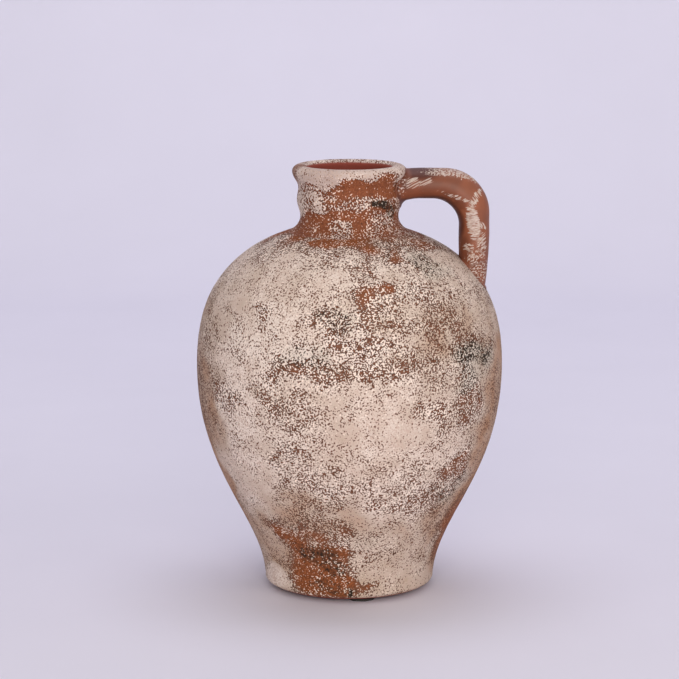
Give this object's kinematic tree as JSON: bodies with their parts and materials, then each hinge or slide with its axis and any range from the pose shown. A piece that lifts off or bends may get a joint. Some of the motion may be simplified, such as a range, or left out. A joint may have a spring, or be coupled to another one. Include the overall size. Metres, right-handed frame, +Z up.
{
  "type": "ceramic vase",
  "caption": "Round-bellied terracotta vase with a narrow ridged neck, an open mouth and an arched side handle; stands upright and holds stems, on rubber pads.",
  "frame": {"origin": "on the vessel's axis, at the level that the rubber pads stand on", "axes": "+Z up along the vessel's axis; the handle stands on the +X side; -Y is the side that the picture shows"},
  "size_m": [0.2156, 0.2156, 0.3],
  "materials": {
    "slipped_body_clay": "matte unglazed terracotta under a worn, sponged coat of chalky cream slip",
    "slipped_shoulder_clay": "matte unglazed terracotta under a worn, sponged coat of chalky cream slip",
    "scrubbed_neck_clay": "matte terracotta scrubbed nearly bare, with cream slip left on the lip and ridge",
    "bare_handle_clay": "smooth bare terracotta with dry brush marks of cream slip",
    "black_rubber": "soft matte black rubber"
  },
  "bodies": {
    "root": {"lower_body": "slipped_body_clay", "upper_body": "slipped_shoulder_clay", "neck_collar": "scrubbed_neck_clay", "handle": "bare_handle_clay", "rubber_pad_front": "black_rubber", "rubber_pad_rear_right": "black_rubber", "rubber_pad_rear_left": "black_rubber"}
  },
  "joints": []
}
